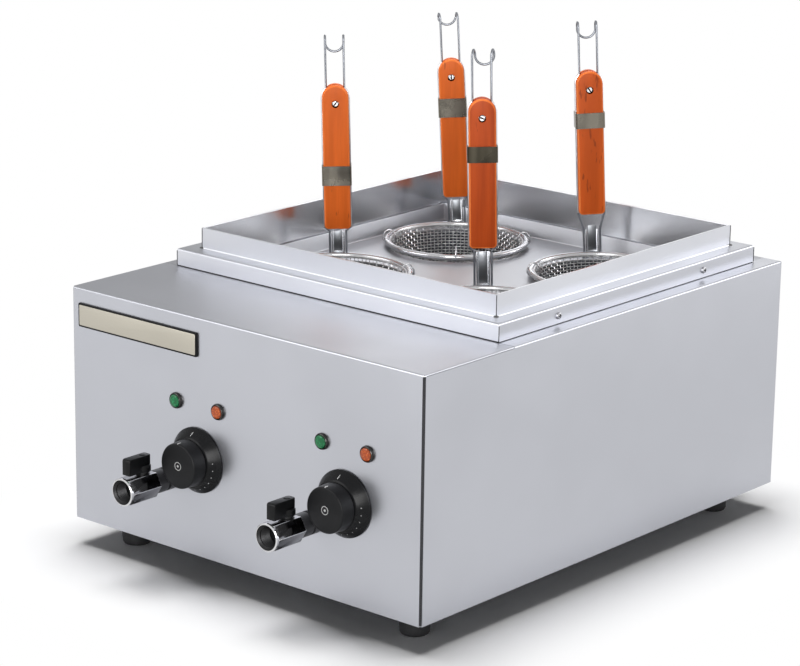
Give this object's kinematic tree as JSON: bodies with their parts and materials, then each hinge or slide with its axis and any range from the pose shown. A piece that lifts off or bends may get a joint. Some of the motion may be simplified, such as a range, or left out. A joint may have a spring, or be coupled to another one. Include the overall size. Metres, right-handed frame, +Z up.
{
  "type": "pasta cooker",
  "caption": "Counter-top electric pasta cooker in stainless steel, with twin boiling wells, drain valves, dial thermostats and lift-out strainer baskets on wooden grips.",
  "frame": {"origin": "on the counter under the middle of the whole outline", "axes": "+Z up, +Y to the rear, +X to the right as seen from the front; drain valves and dials face -Y"},
  "size_m": [0.42, 0.6056, 0.4655],
  "materials": {
    "stainless_sheet": "brushed",
    "base_steel": "plain",
    "tank_steel": "satin",
    "foot_rubber": "matte",
    "screw_steel": "bright",
    "element_alloy": "dull",
    "fitting_brass": "satin",
    "sensor_copper": "satin",
    "pipe_steel": "satin",
    "dark_nut": "satin",
    "valve_plating": "satin",
    "thermostat_housing": "matte",
    "bezel_plastic": "gloss",
    "knob_plastic": "satin",
    "lever_plastic": "satin",
    "lamp_plastic": "gloss",
    "green_lens": "gloss",
    "amber_lens": "gloss",
    "plate_metal": "satin",
    "gland_plastic": "matte",
    "block_plastic": "matte",
    "basket_steel": "bright",
    "mesh_steel": "woven",
    "wire_steel": "bright",
    "grip_wood": "varnished",
    "band_steel": "dull"
  },
  "bodies": {
    "case": {"front_cover": "stainless_sheet", "left_side_panel": "stainless_sheet", "right_side_panel": "stainless_sheet", "rear_panel": "stainless_sheet", "base_plate": "base_steel", "rubber_feet": "foot_rubber", "foot_screws": "screw_steel", "top_surround": "stainless_sheet", "surround_screws": "screw_steel", "rear_screws": "screw_steel", "tank": "tank_steel", "heating_elements": "element_alloy", "tank_fittings": "fitting_brass", "sensor_bulbs": "sensor_copper", "drain_pipes": "pipe_steel", "drain_lock_nuts": "dark_nut", "valve_bodies": "valve_plating", "valve_tails": "valve_plating", "thermostats": "thermostat_housing", "bush_nuts": "screw_steel", "dial_bezels": "bezel_plastic", "lamp_bodies": "lamp_plastic", "green_lenses": "green_lens", "amber_lenses": "amber_lens", "name_plate": "plate_metal", "cable_gland": "gland_plastic", "terminal_block": "block_plastic"},
    "tray": {"basket_tray": "stainless_sheet"},
    "left_valve": {"left_valve_ball": "valve_plating", "left_valve_stem": "fitting_brass", "left_valve_lever": "lever_plastic", "left_lever_screw": "screw_steel"},
    "left_dial": {"left_knob": "knob_plastic", "left_thermostat_shaft": "screw_steel"},
    "right_valve": {"right_valve_ball": "valve_plating", "right_valve_stem": "fitting_brass", "right_valve_lever": "lever_plastic", "right_lever_screw": "screw_steel"},
    "right_dial": {"right_knob": "knob_plastic", "right_thermostat_shaft": "screw_steel"},
    "front_left_basket": {"front_left_basket_ring": "basket_steel", "front_left_bowl": "mesh_steel", "front_left_handle_wire": "wire_steel", "front_left_grip": "grip_wood", "front_left_grip_band": "band_steel"},
    "rear_left_basket": {"rear_left_basket_ring": "basket_steel", "rear_left_bowl": "mesh_steel", "rear_left_handle_wire": "wire_steel", "rear_left_grip": "grip_wood", "rear_left_grip_band": "band_steel"},
    "front_right_basket": {"front_right_basket_ring": "basket_steel", "front_right_bowl": "mesh_steel", "front_right_handle_wire": "wire_steel", "front_right_grip": "grip_wood", "front_right_grip_band": "band_steel"},
    "rear_right_basket": {"rear_right_basket_ring": "basket_steel", "rear_right_bowl": "mesh_steel", "rear_right_handle_wire": "wire_steel", "rear_right_grip": "grip_wood", "rear_right_grip_band": "band_steel"}
  },
  "joints": [
    {"name": "tray_lift", "type": "slide", "parent": "case", "child": "tray", "axis": [0, 0, 1], "range_m": [0, 0.25]},
    {"name": "left_valve_turn", "type": "hinge", "parent": "case", "child": "left_valve", "pos_m": [-0.0872, -0.2768, 0.092], "axis": [0, 0, 1], "range_deg": [-90, 0]},
    {"name": "left_dial_turn", "type": "hinge", "parent": "case", "child": "left_dial", "pos_m": [-0.05093, -0.2438, 0.11646], "axis": [0, 1, 0], "range_deg": [0, 270]},
    {"name": "right_valve_turn", "type": "hinge", "parent": "case", "child": "right_valve", "pos_m": [0.0872, -0.2768, 0.092], "axis": [0, 0, 1], "range_deg": [-90, 0]},
    {"name": "right_dial_turn", "type": "hinge", "parent": "case", "child": "right_dial", "pos_m": [0.12347, -0.2438, 0.11646], "axis": [0, 1, 0], "range_deg": [0, 270]},
    {"name": "front_left_basket_lift", "type": "slide", "parent": "tray", "child": "front_left_basket", "axis": [0, 0, 1], "range_m": [0, 0.25]},
    {"name": "rear_left_basket_lift", "type": "slide", "parent": "tray", "child": "rear_left_basket", "axis": [0, 0, 1], "range_m": [0, 0.25]},
    {"name": "front_right_basket_lift", "type": "slide", "parent": "tray", "child": "front_right_basket", "axis": [0, 0, 1], "range_m": [0, 0.25]},
    {"name": "rear_right_basket_lift", "type": "slide", "parent": "tray", "child": "rear_right_basket", "axis": [0, 0, 1], "range_m": [0, 0.25]}
  ]
}
